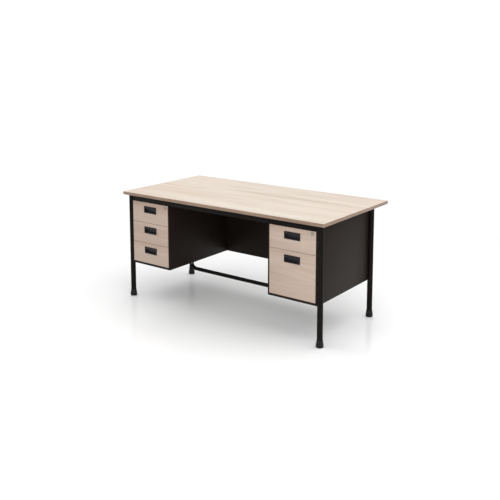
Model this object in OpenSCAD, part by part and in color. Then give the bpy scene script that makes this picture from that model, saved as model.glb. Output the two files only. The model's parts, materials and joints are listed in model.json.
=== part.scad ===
// Double-pedestal teacher desk: laminate top on a round-tube steel frame,
// three box drawers on the left, a box drawer over a file drawer on the right.
// X runs along the desk, -Y is the drawer side, +Z is up; the origin is on the
// floor under the middle of the top.  All sizes are in millimetres.

/* [Top] */
// Length of the top, along X
desk_length = 1600; // [1300:5:2000]
// Depth of the top, along Y
desk_depth = 800; // [660:5:1000]
// Height of the writing surface above the floor
desk_height = 740; // [690:5:900]
// Thickness of the laminated board
top_thickness = 20; // [16:0.5:30]
// Thickness of the plastic edge band
band_thickness = 2; // [1:0.5:3]
// Radius of the top's corners
corner_radius = 5; // [3:0.5:20]

/* [Legs] */
// Outside diameter of a leg tube
leg_od = 35; // [29:1:42]
// Wall of a leg tube
leg_wall = 1.5; // [1.2:0.1:3]
// Overhang of the top past the legs at both ends
end_overhang = 24.5; // [15:0.5:60]
// Overhang of the top past the front legs
front_overhang = 23.5; // [15:0.5:60]
// Overhang of the top past the rear legs, on the visitor's side
rear_overhang = 128.5; // [20:0.5:160]
// Height of the moulded foot
foot_height = 45; // [30:1:60]
// How far the foot's rim stands out from the tube
foot_flare = 5.5; // [4:0.5:12]
// Solid floor of the foot, under the tube
foot_floor = 6; // [4:1:12]
// Radial clearance between the foot's socket and the tube
foot_clearance = 0.1; // [0.05:0.05:0.3]

/* [Frame rails] */
// Height of the rails under the top
rail_height = 38; // [30:1:50]
// Thickness of the rails, front to back
rail_depth = 20; // [15:1:30]
// Wall of the rails
rail_wall = 1.5; // [1.2:0.1:3]

/* [Pedestals] */
// Clear height from the floor to the pedestals
floor_gap = 245; // [150:1:300]
// Width of a pedestal over its front frame
pedestal_width = 344; // [320:1:420]
// Distance of the drawer fronts behind the front of the legs
front_set_back = 4.5; // [3:0.5:8]
// Sheet thickness of the pedestals and the modesty panel
sheet = 1.2; // [0.8:0.1:2]
// Distance of the pedestals' outer walls inside the middle of the legs
wall_inset = 10; // [6:0.5:12]
// Gap between the sheets and the legs that they end at
leg_gap = 0.2; // [0.1:0.1:1]
// Width of the front frame's upright edges
jamb_width = 10; // [7:0.5:15]
// Height of the front frame's bottom edge
sill_height = 14.5; // [6:0.5:20]
// Fold that stiffens the free lower edge of the modesty panel
hem_depth = 15; // [8:1:25]

/* [Drawers] */
// Thickness of a drawer front
front_thickness = 18; // [15:0.5:22]
// Gap round the drawer fronts
front_gap = 1; // [0.7:0.1:3]
// Gap between one drawer front and the next
seam_gap = 2; // [1.5:0.5:5]
// Gap between the top fronts and the front rail
rail_gap = 1.5; // [1:0.5:4]
// Space behind a box drawer's tray
box_rear_gap = 155.6; // [30:0.1:200]
// Space behind the file drawer's tray
file_rear_gap = 55.6; // [20:0.1:60]
// Distance between the bars for hanging folders
file_pitch = 330; // [300:5:335]
// Sheet thickness of the trays
tray_sheet = 1; // [0.8:0.1:1.5]
// Height of a tray's floor above the lower edge of its front
tray_lift = 10; // [8:1:20]

/* [Runners] */
// Distance of a runner's front end behind the drawer front
runner_start = 12; // [5:1:30]
// Distance of a runner's rear end in front of the tray's back
runner_end = 28; // [10:1:60]
// Space a runner takes between the pedestal's wall and the tray
runner_space = 12.7; // [12.7:0.1:14]
// Height of a runner's outer channel
runner_height = 45; // [40:1:50]
// Steel thickness of the runners
runner_steel = 1.2; // [1:0.1:1.5]
// Clearance between the moving members and the front frame
runner_clear = 0.6; // [0.4:0.1:1.5]

/* [Pulls] */
// Width of the recessed pull's flange
pull_width = 112; // [90:1:160]
// Height of the recessed pull's flange
pull_height = 46; // [36:1:60]
// Centre of the pull below the top of its drawer front
pull_drop = 48.5; // [35:0.5:60]
// How far the flange stands out of the front
pull_proud = 2.5; // [1.5:0.5:5]
// Depth of the pull's cup inside the front
pull_cup = 15; // [12:0.5:15]

/* [Locks] */
// Distance of a lock from the right edge of its drawer front
lock_inset = 25; // [20:1:60]
// Distance of a lock below the top of its drawer front
lock_drop = 17; // [15:0.5:25]
// Diameter of the lock's housing
lock_od = 18; // [16:1:20]
// Space between a lock's housing and the tray below it
lock_tray_gap = 5; // [3:0.5:10]
// Length of the cam from the lock's centre
cam_reach = 32; // [30:1:36]

/* [Foot bar] */
// Outside diameter of the bar
bar_od = 25; // [19:1:32]
// Wall of the bar
bar_wall = 1.5; // [1.2:0.1:3]
// Radius of the bar's bends, to its middle line
bar_bend = 46; // [40:1:80]
// Distance of the bar's upright ends inside the pedestals' inner walls
bar_inset = 38.5; // [32:0.5:80]
// Distance of the bar in front of the middle of the depth
bar_forward = 110; // [0:5:200]
// Side of the square mounting plates
plate_side = 60; // [50:1:90]
// Thickness of the mounting plates
plate_thickness = 4; // [3:0.5:6]

/* [Hidden] */
$fn = 48;
small_fn = 32;

// Frame
board_bottom = desk_height - top_thickness;
leg_r = leg_od / 2;
leg_x = desk_length / 2 - end_overhang - leg_r;
leg_front_y = -(desk_depth / 2 - front_overhang - leg_r);
leg_rear_y = desk_depth / 2 - rear_overhang - leg_r;
rail_bottom = board_bottom - rail_height;
rail_front_back = leg_front_y + rail_depth / 2;
rail_rear_front = leg_rear_y - rail_depth / 2;

// Pedestal, worked out for the right-hand one and mirrored for the left
front_plane = leg_front_y - leg_r + front_set_back;
frame_inset = 0.8;
frame_face = front_plane + frame_inset;
frame_back = frame_face + sheet;
frame_leg_gap = 0.9;
leg_dy = leg_front_y - frame_back;
leg_half_chord = leg_dy < leg_r ? sqrt(leg_r * leg_r - leg_dy * leg_dy) : 0;
frame_outer = floor((leg_x - leg_half_chord - frame_leg_gap) * 10) / 10;
case_inner = frame_outer - pedestal_width;
case_outer = leg_x - wall_inset;
case_back = rail_rear_front - sheet;
frame_top = rail_bottom - 0.5;

// Drawer fronts
front_lo = case_inner + jamb_width + front_gap;
front_hi = frame_outer - jamb_width - front_gap;
front_mid = (front_lo + front_hi) / 2;
front_top = rail_bottom - rail_gap;
front_bottom = floor_gap + sill_height + front_gap;
box_front = (front_top - front_bottom - 2 * seam_gap) / 3;
file_front = front_top - front_bottom - seam_gap - box_front;

// Runners stand off the walls on pads, so that their moving members pass the front frame
middle_web = 4.2;
middle_flange = 1.8;
middle_start = middle_web - middle_flange;
pad_min = 0.5;
runner_lo = max(case_inner + jamb_width + runner_clear - middle_start, case_inner + sheet + pad_min);
runner_hi = min(frame_outer - jamb_width - runner_clear + middle_start, case_outer - sheet - pad_min);

// Trays
tray_lo = runner_lo + runner_space;
tray_hi = runner_hi - runner_space;
tray_y = front_plane + front_thickness;
tray_room = case_back - sheet - tray_y;
box_depth = tray_room - box_rear_gap;
file_depth = tray_room - file_rear_gap;
headroom = lock_drop + lock_od / 2 + lock_tray_gap;
runner_middle_max = 60;
hem = 6;

// Drawer table: name, side, top of the front, height of the front, depth of the tray
SIDE = 1;
TOP = 2;
FRONT_H = 3;
DEPTH = 4;
pitch = box_front + seam_gap;
DRAWERS = [
    ["left_top", -1, front_top, box_front, box_depth],
    ["left_middle", -1, front_top - pitch, box_front, box_depth],
    ["left_bottom", -1, front_top - 2 * pitch, box_front, box_depth],
    ["right_top", 1, front_top, box_front, box_depth],
    ["right_file", 1, front_top - pitch, file_front, file_depth]
];
FILE = 4;
LOCKED = [0, 3];
CORNERS = [
    ["front_left", -leg_x, leg_front_y],
    ["front_right", leg_x, leg_front_y],
    ["rear_left", -leg_x, leg_rear_y],
    ["rear_right", leg_x, leg_rear_y]
];
SIDES = [["left", -1], ["right", 1]];

wood = [0.89, 0.79, 0.70];
front_wood = [0.80, 0.70, 0.60];
powder_coat = [0.12, 0.11, 0.11];
moulding = [0.10, 0.10, 0.11];
zinc = [0.70, 0.71, 0.72];

// ---------------------------------------------------------------- helpers

// Box between two opposite corners
module block(lo, hi) {
    translate(lo) cube(hi - lo);
}

// Cylinder along Y from y0 to y1
module bar_y(x, z, y0, y1, r, fn = $fn) {
    translate([x, y0, z]) rotate([-90, 0, 0]) cylinder(r = r, h = y1 - y0, $fn = fn);
}

// Right-hand geometry as it is, or mirrored to the left
module on_side(side) {
    if (side < 0) mirror([1, 0, 0]) children();
    else children();
}

// Flat slab with round vertical corners
module slab(length, depth, height, r) {
    block([-length / 2 + r, -depth / 2, 0], [length / 2 - r, depth / 2, height]);
    block([-length / 2, -depth / 2 + r, 0], [length / 2, depth / 2 - r, height]);
    for (x = [-1, 1], y = [-1, 1])
        translate([x * (length / 2 - r), y * (depth / 2 - r), 0]) cylinder(r = r, h = height);
}

// Round tube standing on z0
module leg_tube(z0, z1, r, wall) {
    translate([0, 0, z0]) difference() {
        cylinder(r = r, h = z1 - z0);
        translate([0, 0, -1]) cylinder(r = r - wall, h = z1 - z0 + 2);
    }
}

// Rectangular tube between two corners, open along X or along Y
module box_tube(lo, hi, wall, along_x) {
    over = along_x ? [-1, wall, wall] : [wall, -1, wall];
    difference() {
        block(lo, hi);
        block(lo + over, hi - over);
    }
}

// ---------------------------------------------------------------- top

module desk_top() {
    color(wood) translate([0, 0, board_bottom])
        slab(desk_length - 2 * band_thickness, desk_depth - 2 * band_thickness,
            top_thickness, corner_radius - band_thickness);
}

module edge_band() {
    color(wood) translate([0, 0, board_bottom]) difference() {
        slab(desk_length, desk_depth, top_thickness, corner_radius);
        translate([0, 0, -1])
            slab(desk_length - 2 * band_thickness, desk_depth - 2 * band_thickness,
                top_thickness + 2, corner_radius - band_thickness);
    }
}

// ---------------------------------------------------------------- frame

module leg(c) {
    color(powder_coat) translate([c[1], c[2], 0])
        leg_tube(foot_floor, board_bottom, leg_r, leg_wall);
}

// Flared foot: outline of half the section, swept round the leg
module foot(c) {
    top_r = leg_r + 1.6;
    rim = 5;
    rim_r = leg_r + foot_flare;
    flare = rim_r - top_r;
    belly = foot_height * 0.25;
    steps = 10;
    socket_r = leg_r + foot_clearance;
    outline = concat(
        [[0, 0]],
        [for (i = [0:steps]) let (a = 90 * i / steps)
            [rim_r - rim + rim * sin(a), rim - rim * cos(a)]],
        [for (i = [1:steps]) let (t = i / steps)
            [top_r + flare * (0.5 + 0.5 * cos(180 * t)), belly + t * (foot_height - 1.5 - belly)]],
        [[top_r - 0.8, foot_height], [socket_r, foot_height], [socket_r, foot_floor], [0, foot_floor]]
    );
    color(moulding) translate([c[1], c[2], 0]) rotate_extrude() polygon(outline);
}

// Cylinders that cope the rails and sheets to the legs, from z0 up to the board
module leg_space(clearance, z0) {
    for (c = CORNERS)
        translate([c[1], c[2], z0 - 1])
            cylinder(r = leg_r + clearance, h = board_bottom - z0 + 2);
}

module front_rail() {
    y = leg_front_y - rail_depth / 2;
    color(powder_coat) difference() {
        box_tube([-leg_x, y, rail_bottom], [leg_x, y + rail_depth, board_bottom], rail_wall, true);
        leg_space(0, rail_bottom);
    }
}

module rear_rail() {
    y = leg_rear_y - rail_depth / 2;
    color(powder_coat) difference() {
        box_tube([-leg_x, y, rail_bottom], [leg_x, y + rail_depth, board_bottom], rail_wall, true);
        leg_space(0, rail_bottom);
    }
}

// Rails inside the pedestals' outer walls, from the front rail to the panel
module side_rail(side) {
    outer = case_outer - sheet;
    color(powder_coat) difference() {
        on_side(side)
            box_tube([outer - rail_depth, rail_front_back, rail_bottom],
                [outer, case_back - sheet, board_bottom], rail_wall, false);
        leg_space(leg_gap, rail_bottom);
    }
}

bracket_leg = 25;
bracket_width = 30;
bracket_t = 2;
bracket_hole = 2.6;
bracket_screw = 15;
// Place of each bracket's back, and the turn about Z that points it away from its rail
BRACKETS = concat(
    [for (k = [-0.45, -0.15, 0.15, 0.45]) [k * leg_x, rail_front_back, 0]],
    [for (k = [-0.45, -0.15, 0.15, 0.45]) [k * leg_x, case_back, 180]],
    [for (s = [-1, 1], y = [-0.5, 0.3])
        [s * (case_outer - sheet - rail_depth), y * (leg_rear_y - leg_front_y) / 2, 90 * s]]
);

module at_brackets() {
    for (b = BRACKETS) translate([b[0], b[1], board_bottom]) rotate([0, 0, b[2]]) children();
}

// Angle brackets between the rails and the underside of the top
module top_brackets() {
    half = bracket_width / 2;
    color(powder_coat) at_brackets() difference() {
        union() {
            block([-half, 0, -bracket_t], [half, bracket_leg, 0]);
            block([-half, 0, -bracket_leg], [half, bracket_t, 0]);
        }
        translate([0, bracket_screw, -bracket_t - 1])
            cylinder(r = bracket_hole, h = bracket_t + 2, $fn = small_fn);
    }
}

// Pan-head screws up into the board, one through each bracket
module top_screws() {
    head_r = 4.5;
    head_h = 2.2;
    color(zinc) at_brackets() translate([0, bracket_screw, -bracket_t]) {
        translate([0, 0, -head_h]) cylinder(r = head_r, h = head_h, $fn = small_fn);
        cylinder(r = bracket_hole - 0.4, h = bracket_t, $fn = small_fn);
    }
}

// ---------------------------------------------------------------- pedestals

// One folded sheet: inner wall, floor and outer wall, with a welded back
module casing(side) {
    color(powder_coat) difference() {
        on_side(side) {
            for (x = [case_inner, case_outer - sheet]) {
                block([x, frame_back, floor_gap], [x + sheet, case_back, rail_bottom]);
                block([x, rail_front_back, rail_bottom], [x + sheet, case_back, board_bottom]);
            }
            block([case_inner, frame_back, floor_gap], [case_outer, case_back, floor_gap + sheet]);
            block([case_inner, case_back - sheet, floor_gap], [case_outer, case_back, board_bottom]);
        }
        leg_space(leg_gap, floor_gap);
    }
}

// Flat edge round the drawer opening, with a return that stiffens each upright
module front_frame(side) {
    color(powder_coat) on_side(side) {
        block([case_inner, frame_face, floor_gap],
            [case_inner + jamb_width, frame_back, frame_top]);
        block([frame_outer - jamb_width, frame_face, floor_gap],
            [frame_outer, frame_back, frame_top]);
        block([case_inner, frame_face, floor_gap],
            [frame_outer, frame_back, floor_gap + sill_height]);
        block([case_inner + sheet, frame_back, floor_gap + sheet],
            [frame_outer - hem, frame_back + hem, floor_gap + 2 * sheet]);
    }
}

// Sheet across the whole back, inside the rear rail, with a folded lower edge
module modesty_panel() {
    color(powder_coat) difference() {
        union() {
            block([-leg_x, case_back, floor_gap], [leg_x, rail_rear_front, board_bottom]);
            block([-leg_x, rail_rear_front, floor_gap],
                [leg_x, rail_rear_front + hem_depth, floor_gap + sheet]);
        }
        leg_space(leg_gap, floor_gap);
    }
}

// ---------------------------------------------------------------- foot bar

bar_x = case_inner + bar_inset;
bar_y0 = -bar_forward;
bar_top = floor_gap - plate_thickness;
bar_z = bar_top - bar_bend;

// Ring section of the bar
module bar_section() {
    difference() {
        circle(r = bar_od / 2);
        circle(r = bar_od / 2 - bar_wall);
    }
}

// Straight tube with both ends bent up to the pedestals
module foot_bar() {
    straight = 2 * (bar_x - bar_bend);
    color(powder_coat) translate([0, bar_y0, bar_z]) {
        translate([-straight / 2, 0, 0]) rotate([0, 90, 0]) linear_extrude(straight) bar_section();
        for (s = [-1, 1])
            translate([s * straight / 2, 0, bar_bend]) rotate([90, s > 0 ? 90 : 180, 0])
                rotate_extrude(angle = 90) translate([bar_bend, 0]) bar_section();
    }
}

bolt_spread = plate_side / 2 - 9;
bolt_hole = 3.3;

// Square plates welded on the bar's ends
module foot_bar_plates() {
    color(powder_coat) for (s = [-1, 1]) difference() {
        block([s * bar_x - plate_side / 2, bar_y0 - plate_side / 2, bar_top],
            [s * bar_x + plate_side / 2, bar_y0 + plate_side / 2, floor_gap]);
        for (x = [-1, 1], y = [-1, 1])
            translate([s * bar_x + x * bolt_spread, bar_y0 + y * bolt_spread, bar_top - 1])
                cylinder(r = bolt_hole, h = plate_thickness + 2, $fn = small_fn);
    }
}

// Bolts up through the plates, with hexagon heads
module foot_bar_bolts() {
    head = 5;
    color(zinc) for (s = [-1, 1], x = [-1, 1], y = [-1, 1])
        translate([s * bar_x + x * bolt_spread, bar_y0 + y * bolt_spread, bar_top]) {
            translate([0, 0, -head]) cylinder(r = 5.8, h = head, $fn = 6);
            cylinder(r = bolt_hole - 0.3, h = plate_thickness, $fn = small_fn);
        }
}

// ---------------------------------------------------------------- drawers

cup_width = pull_width - 12;
cup_height = pull_height - 12;
cup_wall = 2;
cup_fit = 0.4;
lip = 6;

// Heights on drawer d: centre of the pull and the lock, floor and top of the tray
function pull_z(d) = d[TOP] - pull_drop;
function lock_z(d) = d[TOP] - lock_drop;
function tray_floor(d) = d[TOP] - d[FRONT_H] + tray_lift;
function tray_top(d) = d[TOP] - headroom;
// A lock sits near the right-hand edge of its front on both sides
function lock_x(d) = d[SIDE] < 0 ? front_lo + lock_inset : front_hi - lock_inset;

// Board with a cut-out for the pull and, on the top drawers, a hole for the lock
module drawer_front(i) {
    d = DRAWERS[i];
    color(front_wood) on_side(d[SIDE]) difference() {
        block([front_lo, front_plane, d[TOP] - d[FRONT_H]], [front_hi, tray_y, d[TOP]]);
        block([front_mid - cup_width / 2 - cup_fit, front_plane - 1, pull_z(d) - cup_height / 2 - cup_fit],
            [front_mid + cup_width / 2 + cup_fit, tray_y + 1, pull_z(d) + cup_height / 2 + cup_fit]);
        if (len(search(i, LOCKED)) > 0)
            bar_y(lock_x(d), lock_z(d), front_plane - 1, tray_y + 1, lock_od / 2 + 0.1);
    }
}

// Folded steel box, open at the top, with the upper edges turned in
module drawer_tray(i) {
    d = DRAWERS[i];
    z0 = tray_floor(d);
    z1 = tray_top(d);
    y1 = tray_y + d[DEPTH];
    t = tray_sheet;
    color(powder_coat) on_side(d[SIDE]) {
        difference() {
            block([tray_lo, tray_y, z0], [tray_hi, y1, z1]);
            block([tray_lo + t, tray_y + t, z0 + t], [tray_hi - t, y1 - t, z1 + 1]);
        }
        for (x = [tray_lo, tray_hi - hem]) block([x, tray_y, z1 - t], [x + hem, y1, z1]);
    }
}

// Cup with a flange; the grip is the lip that hangs over the top of the cup
module drawer_pull(i) {
    d = DRAWERS[i];
    y1 = front_plane + pull_cup;
    color(moulding) on_side(d[SIDE]) translate([front_mid, 0, pull_z(d)]) difference() {
        union() {
            translate([0, front_plane, 0]) rotate([90, 0, 0])
                slab(pull_width, pull_height, pull_proud, 4);
            block([-cup_width / 2, front_plane - 0.5, -cup_height / 2],
                [cup_width / 2, y1, cup_height / 2]);
        }
        block([-cup_width / 2 + cup_wall, front_plane, -cup_height / 2 + cup_wall],
            [cup_width / 2 - cup_wall, y1 - cup_wall, cup_height / 2 - cup_wall]);
        block([-cup_width / 2 + cup_wall, front_plane - pull_proud - 1, -cup_height / 2 + cup_wall],
            [cup_width / 2 - cup_wall, front_plane + 1, cup_height / 2 - cup_wall - lip]);
    }
}

// ---------------------------------------------------------------- runners

// Length of drawer d's runners, which is also the drawer's travel
function runner_length(d) = d[DEPTH] - runner_start - runner_end;
// Middle height of drawer d's runners
function runner_z(d) = tray_floor(d) + min((tray_top(d) - tray_floor(d)) / 2, runner_middle_max);

// Copies a runner member to both sides of the tray; its own X runs from wall to tray
module both_runners(i) {
    d = DRAWERS[i];
    on_side(d[SIDE]) translate([0, tray_y + runner_start, runner_z(d)]) {
        translate([runner_lo, 0, 0]) children();
        translate([runner_hi, 0, 0]) mirror([1, 0, 0]) children();
    }
}

// Channel of a given height whose back is at x0 and whose lips reach x1
module channel(x0, x1, height, length, lips_first) {
    t = runner_steel;
    web = lips_first ? x1 - t : x0;
    block([web, 0, -height / 2], [web + t, length, height / 2]);
    for (z = [-height / 2, height / 2 - t]) block([x0, 0, z], [x1, length, z + t]);
}

// Balls run between the members, in the races that these sizes leave
middle_height = runner_height - 11;
inner_height = middle_height - 8.5;
outer_lip = runner_space - 3.7;
pad_length = 30;
pad_height = 24;

// Channel fixed to the pedestal's wall by two pads
module runner_outer(i) {
    d = DRAWERS[i];
    length = runner_length(d);
    color(zinc) {
        both_runners(i) channel(0, outer_lip, runner_height, length, false);
        on_side(d[SIDE]) translate([0, tray_y + runner_start, runner_z(d) - pad_height / 2])
            for (y = [pad_length, length - 2 * pad_length]) {
                block([case_inner + sheet, y, 0], [runner_lo, y + pad_length, pad_height]);
                block([runner_hi, y, 0], [case_outer - sheet, y + pad_length, pad_height]);
            }
    }
}

module runner_middle(i) {
    t = runner_steel;
    length = runner_length(DRAWERS[i]);
    color(zinc) both_runners(i) {
        block([middle_web, 0, -middle_height / 2], [middle_web + t, length, middle_height / 2]);
        for (z = [-middle_height / 2, middle_height / 2 - t])
            block([middle_start, 0, z], [runner_space - 2.6, length, z + t]);
    }
}

module runner_inner(i) {
    color(zinc) both_runners(i)
        channel(middle_web + runner_steel + 1, runner_space, inner_height,
            runner_length(DRAWERS[i]), true);
}

// ---------------------------------------------------------------- locks

plug_r = lock_od / 2 - 3;
plug_clearance = 0.05;
rim_proud = 2;
cam_gap = 2;
cam_t = 2;
cam_width = 11;
cam_y = rail_front_back + cam_gap;

module lock_housing(i) {
    d = DRAWERS[i];
    color(zinc) on_side(d[SIDE]) difference() {
        union() {
            bar_y(lock_x(d), lock_z(d), front_plane - 0.5, cam_y - 1, lock_od / 2);
            bar_y(lock_x(d), lock_z(d), front_plane - rim_proud, front_plane, lock_od / 2 + 1.5);
        }
        bar_y(lock_x(d), lock_z(d), front_plane - rim_proud - 1, cam_y, plug_r + plug_clearance);
    }
}

// Turning plug with its key slot, and the cam that hooks behind the front rail
module lock_cam(i) {
    d = DRAWERS[i];
    face = front_plane - rim_proud - 0.3;
    color(zinc) on_side(d[SIDE]) translate([lock_x(d), 0, lock_z(d)]) {
        difference() {
            bar_y(0, 0, face, cam_y, plug_r);
            block([-0.9, face - 1, -3.6], [0.9, face + 4, 3.6]);
        }
        s = d[SIDE];
        bar_y(0, 0, cam_y, cam_y + cam_t, cam_width / 2);
        block([min(0, -s * cam_reach), cam_y, -cam_width / 2],
            [max(0, -s * cam_reach), cam_y + cam_t, cam_width / 2]);
    }
}

// ---------------------------------------------------------------- file bars

hook = 12;
bar_first = (file_depth - file_pitch - hook) / 2;

// Two bars across the file drawer that hanging folders hook over
module right_file_bars() {
    top = tray_top(DRAWERS[FILE]);
    t = 2;
    color(zinc) for (y = [bar_first, bar_first + file_pitch]) {
        block([tray_lo + hem + 0.5, tray_y + y, top - 16], [tray_hi - hem - 0.5, tray_y + y + t, top + t]);
        for (x = [tray_lo, tray_hi - hem - 1])
            block([x, tray_y + y, top], [x + hem + 1, tray_y + y + hook, top + t]);
    }
}

// ---------------------------------------------------------------- nodes

desk_top();
edge_band();
front_rail();
rear_rail();
top_brackets();
top_screws();
for (c = CORNERS) {
    leg(c);
    foot(c);
}
for (s = SIDES) {
    side_rail(s[1]);
    casing(s[1]);
    front_frame(s[1]);
}
modesty_panel();
foot_bar();
foot_bar_plates();
foot_bar_bolts();
for (i = [0:len(DRAWERS) - 1]) {
    name = DRAWERS[i][0];
    drawer_front(i);
    drawer_tray(i);
    drawer_pull(i);
    runner_outer(i);
    runner_middle(i);
    runner_inner(i);
}
for (i = LOCKED) {
    lock_housing(i);
    lock_cam(i);
}
right_file_bars();
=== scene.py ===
# %% [markdown]
# # A double-pedestal teacher desk
# A laminate top stands on a frame of round steel legs and rectangular rails.
# Two sheet-steel pedestals hang between the legs: three box drawers on the left,
# a box drawer over a file drawer on the right.  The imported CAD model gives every
# size and every moving body, so this lesson only adds what CAD leaves out:
# rounded edges, mouldings, fixings, welds and finishes.

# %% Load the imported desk
import json
import math
import bmesh
import bpy
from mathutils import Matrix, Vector


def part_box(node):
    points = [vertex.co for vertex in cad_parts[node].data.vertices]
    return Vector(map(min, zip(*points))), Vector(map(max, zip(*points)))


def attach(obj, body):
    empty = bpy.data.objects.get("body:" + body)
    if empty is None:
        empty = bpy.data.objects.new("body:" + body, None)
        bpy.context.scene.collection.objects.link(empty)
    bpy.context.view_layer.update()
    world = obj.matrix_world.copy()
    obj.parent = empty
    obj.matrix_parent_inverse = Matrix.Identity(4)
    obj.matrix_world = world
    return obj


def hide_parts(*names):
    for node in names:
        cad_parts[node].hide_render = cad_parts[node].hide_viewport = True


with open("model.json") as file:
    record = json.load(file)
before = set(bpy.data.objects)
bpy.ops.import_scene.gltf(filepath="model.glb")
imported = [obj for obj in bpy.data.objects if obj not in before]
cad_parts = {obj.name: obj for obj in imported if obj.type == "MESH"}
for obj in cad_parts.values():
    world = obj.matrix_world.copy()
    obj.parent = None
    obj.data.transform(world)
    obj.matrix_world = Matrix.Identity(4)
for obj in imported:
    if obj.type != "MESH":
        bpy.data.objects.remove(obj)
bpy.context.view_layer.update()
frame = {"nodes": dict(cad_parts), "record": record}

BODY_OF = {node: body for body, nodes in frame["record"]["behaviour"]["bodies"].items() for node in nodes}
DRAWERS = ["left_top", "left_middle", "left_bottom", "right_top", "right_file"]
LOCKED = ["left_top", "right_top"]
MM = 0.001

# %% [markdown]
# ## Camera
# The camera stands to the right of the desk, at the height of a standing person's
# eyes, and far enough away that the legs stay nearly parallel.  It is aimed a little
# above the top, and the lens is shifted down to bring the feet into the frame, as a
# view camera does it: tilting the whole camera would make the legs converge.

# %% Camera
AZIMUTH = math.radians(36.69)
ELEVATION = math.radians(7.78)
DISTANCE = 4.8
TARGET = Vector((-0.035, 0.033, 1.041))
LENS = 51.9
SHIFT = -0.2


def add_camera():
    data = bpy.data.cameras.new("camera")
    data.lens = LENS
    data.sensor_width = 36
    data.shift_y = SHIFT
    camera = bpy.data.objects.new("camera", data)
    bpy.context.scene.collection.objects.link(camera)
    away = Vector((math.sin(AZIMUTH) * math.cos(ELEVATION), -math.cos(AZIMUTH) * math.cos(ELEVATION),
                   math.sin(ELEVATION)))
    camera.location = TARGET + DISTANCE * away
    camera.rotation_euler = away.to_track_quat("Z", "Y").to_euler()
    bpy.context.scene.camera = camera
    return camera


camera = add_camera()
print("camera at", [round(c, 3) for c in camera.location])

# %% [markdown]
# ## Shader maths
# A finish is a tree of nodes.  Joining nodes one by one hides the formula, so one
# small class wraps a socket and overloads the operators: `grain * 0.3 + 0.5` adds the
# Math nodes.  Every other node comes from one method, which sets the node's own
# settings first and then fills its sockets with numbers or links.  The same two
# classes build the Geometry Nodes trees further down.


# %% Values and trees
class Value:
    """One output of a node tree; arithmetic on it adds Math nodes."""

    def __init__(self, tree, socket):
        self.tree = tree
        self.socket = socket

    def math(self, operation, *others):
        return self.tree.node("ShaderNodeMath", {"operation": operation}, [self, *others])

    def __add__(self, other):
        return self.math("ADD", other)

    def __sub__(self, other):
        return self.math("SUBTRACT", other)

    def __mul__(self, other):
        return self.math("MULTIPLY", other)

    def __truediv__(self, other):
        return self.math("DIVIDE", other)

    def __rsub__(self, other):
        return self.tree.node("ShaderNodeMath", {"operation": "SUBTRACT"}, [other, self])

    def __rtruediv__(self, other):
        return self.tree.node("ShaderNodeMath", {"operation": "DIVIDE"}, [other, self])

    __radd__ = __add__
    __rmul__ = __mul__

    def span(self, low, high):
        """Rises smoothly from 0 at low to 1 at high."""
        return self.tree.node("ShaderNodeMapRange", {"interpolation_type": "SMOOTHSTEP"},
                              {"Value": self, "From Min": low, "From Max": high})


class Tree:
    """A node tree with one method that adds any node."""

    def __init__(self, nodes):
        self.nodes = nodes

    def node(self, kind, settings=None, values=(), output=0):
        made = self.nodes.nodes.new(kind)
        for key, setting in (settings or {}).items():
            if key == "stops":
                self.set_stops(made.color_ramp, setting)
            else:
                setattr(made, key, setting)
        pairs = values.items() if isinstance(values, dict) else enumerate(values)
        for key, value in pairs:
            if isinstance(value, Value):
                self.nodes.links.new(value.socket, made.inputs[key])
            else:
                made.inputs[key].default_value = value
        return Value(self, made.outputs[output])

    @staticmethod
    def set_stops(ramp, stops):
        while len(ramp.elements) < len(stops):
            ramp.elements.new(1.0)
        for element, (place, colour) in zip(ramp.elements, stops):
            element.position = place
            element.color = (*colour, 1.0)


class Finish(Tree):
    """A material: constants go straight on its Principled shader, the rest is linked to it."""

    def __init__(self, name, **constants):
        self.material = bpy.data.materials.new(name)
        self.material.use_nodes = True
        super().__init__(self.material.node_tree)
        self.shader = self.nodes.nodes["Principled BSDF"]
        for key, value in constants.items():
            self.shader.inputs[key.replace("_", " ")].default_value = value
        self.place = self.node("ShaderNodeTexCoord", output="Object")

    def feed(self, **links):
        for key, value in links.items():
            self.nodes.links.new(value.socket, self.shader.inputs[key.replace("_", " ")])
        return self.material

    def stretched(self, x, y, z):
        """Object coordinates scaled along each axis, so that a pattern can run along one of them."""
        return self.node("ShaderNodeMapping", {}, {"Vector": self.place, "Scale": (x, y, z)})

    def noise(self, vector, scale, detail=2.0, roughness=0.5, distortion=0.0):
        return self.node("ShaderNodeTexNoise", {},
                         {"Vector": vector, "Scale": scale, "Detail": detail, "Roughness": roughness,
                          "Distortion": distortion})

    def ramp(self, factor, *stops):
        return self.node("ShaderNodeValToRGB", {"stops": stops}, [factor])

    def blend(self, factor, first, second, mode="MIX"):
        """Mixes two colours; a Math node would turn them grey."""
        first = first if isinstance(first, Value) else (*first, 1.0)
        second = second if isinstance(second, Value) else (*second, 1.0)
        return self.node("ShaderNodeMix", {"data_type": "RGBA", "blend_type": mode},
                         {0: factor, 6: first, 7: second}, output=2)

    def bump(self, height, strength, distance):
        return self.node("ShaderNodeBump", {},
                         {"Height": height, "Strength": strength, "Distance": distance})

    def axis(self, name):
        return self.node("ShaderNodeSeparateXYZ", {}, [self.place], output=name)
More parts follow.
